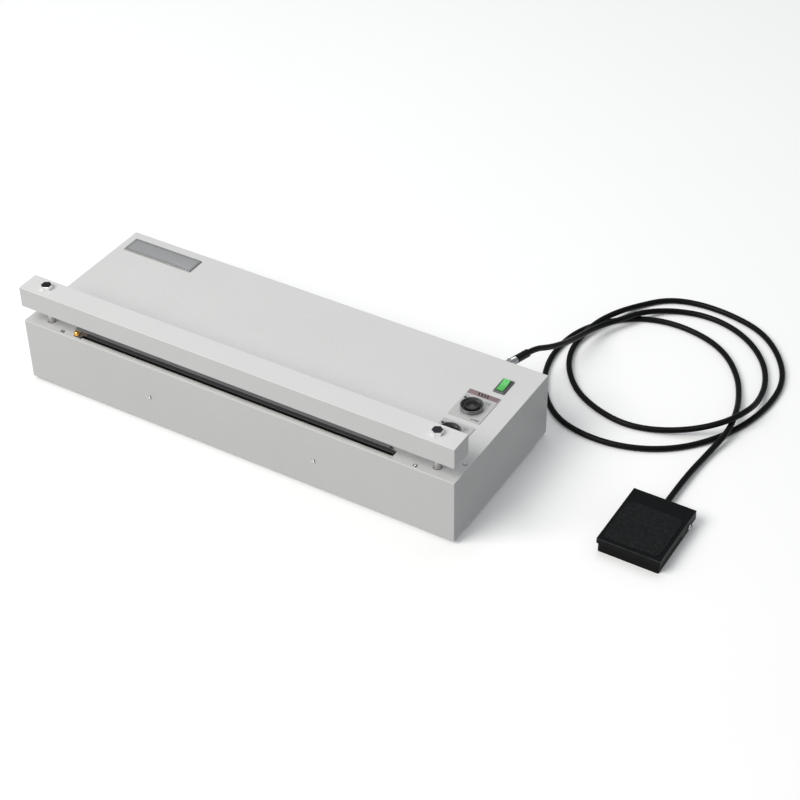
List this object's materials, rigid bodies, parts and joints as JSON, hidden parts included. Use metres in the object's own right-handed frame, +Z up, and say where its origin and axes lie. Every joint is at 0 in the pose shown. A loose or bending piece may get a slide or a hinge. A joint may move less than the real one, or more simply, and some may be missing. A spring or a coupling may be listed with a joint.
{
  "type": "impulse heat sealer",
  "caption": "Bench-top bag sealer: long sheet-metal housing, pneumatic sealing jaw above a heated bar, timer dials, rocker switch and a corded foot switch.",
  "frame": {"origin": "middle of the footprint of machine and foot switch together (cord left out), on the bench they both stand on", "axes": "+Z up, +X along the machine towards the foot-switch side, +Y from the jaw side to the rear wall"},
  "size_m": [0.8345, 0.5672, 0.1459],
  "materials": {
    "housing_paint": "light grey powder coat, fine texture",
    "jaw_paint": "light grey powder coat, smoother",
    "zinc_steel": "zinc-plated sheet steel",
    "dark_steel": "blackened steel",
    "satin_steel": "satin ground steel",
    "chrome": "bright plated",
    "aluminium": "machined",
    "plate_aluminium": "brushed plate",
    "dial_aluminium": "satin anodised",
    "brass": "turned",
    "black_rubber": "matt",
    "pad_rubber": "silicone, matt",
    "ptfe_cloth": "coated glass cloth, fine weave",
    "glass_cloth": "woven glass tape",
    "band_nichrome": "rolled heating band",
    "white_plastic": "ribbed",
    "grey_plastic": "moulded",
    "black_plastic": "moulded",
    "gloss_black": "moulded, glossy",
    "green_plastic": "moulded, translucent look",
    "copper_winding": "taped copper winding",
    "core_steel": "stacked laminations",
    "board": "printed board with parts",
    "tube_blue": "nylon air tube",
    "cord_pvc": "satin black jacket"
  },
  "bodies": {
    "machine": {"housing_cover": "housing_paint", "base_plate": "zinc_steel", "rubber_feet": "black_rubber", "base_screws": "chrome", "top_screws": "chrome", "front_screws": "chrome", "nameplate": "plate_aluminium", "seal_bar_support": "zinc_steel", "seal_bar": "aluminium", "insulator_strip": "glass_cloth", "heating_band": "band_nichrome", "ptfe_cover": "ptfe_cloth", "cloth_clamp": "grey_plastic", "film_rest": "white_plastic", "terminal_blocks": "black_plastic", "band_terminals": "brass", "cylinder_left": "aluminium", "cylinder_right": "aluminium", "cylinder_caps": "aluminium", "rod_bushings": "brass", "cylinder_screws": "chrome", "return_springs": "satin_steel", "heat_timer": "black_plastic", "seal_timer": "black_plastic", "heat_dial_plate": "dial_aluminium", "seal_dial_plate": "dial_aluminium", "switch_bezel": "black_plastic", "solenoid_valve": "aluminium", "solenoid_coil": "gloss_black", "air_fitting": "brass", "air_tubes": "tube_blue", "transformer_core": "core_steel", "transformer_winding": "copper_winding", "transformer_frame": "zinc_steel", "control_board": "board", "board_standoffs": "white_plastic", "inlet_socket": "black_plastic", "foot_socket": "chrome", "foot_plug": "chrome", "plug_spring": "chrome", "plug_sleeve": "black_plastic", "foot_cord": "cord_pvc", "pedal_base": "black_plastic", "pedal_pin": "chrome", "pedal_switch": "grey_plastic", "pedal_spring": "satin_steel"},
    "jaw": {"upper_jaw": "jaw_paint", "pad_holder": "aluminium", "pressure_pad": "pad_rubber", "piston_rods": "satin_steel", "jaw_bolts": "dark_steel"},
    "heat_dial": {"heat_knob": "gloss_black", "heat_knob_cap": "aluminium", "heat_spindle": "brass"},
    "seal_dial": {"seal_knob": "gloss_black", "seal_knob_cap": "aluminium", "seal_spindle": "brass"},
    "power_rocker": {"rocker": "green_plastic"},
    "foot_treadle": {"treadle": "black_plastic", "treadle_pad": "black_rubber"}
  },
  "joints": [
    {"name": "jaw_slide", "type": "slide", "parent": "machine", "child": "jaw", "axis": [0, 0, 1], "range_m": [-0.016, 0], "stiffness_N_per_m": 1500, "springref_m": 0.02, "deforming": ["return_springs"]},
    {"name": "heat_dial_turn", "type": "hinge", "parent": "machine", "child": "heat_dial", "pos_m": [0.1455, 0.00625, 0.0976], "axis": [0, 0, 1], "range_deg": [-135, 135]},
    {"name": "seal_dial_turn", "type": "hinge", "parent": "machine", "child": "seal_dial", "pos_m": [0.1455, -0.04675, 0.0976], "axis": [0, 0, 1], "range_deg": [-135, 135]},
    {"name": "power_rocker_tilt", "type": "hinge", "parent": "machine", "child": "power_rocker", "pos_m": [0.15835, 0.0602, 0.0907], "axis": [1, 0, 0], "range_deg": [-12, 0]},
    {"name": "treadle_press", "type": "hinge", "parent": "machine", "child": "foot_treadle", "pos_m": [0.3765, 0.031, 0.0105], "axis": [1, 0, 0], "range_deg": [0, 2.4], "stiffness_Nm_per_rad": 10, "springref_deg": -2.01, "deforming": ["pedal_spring"]}
  ]
}
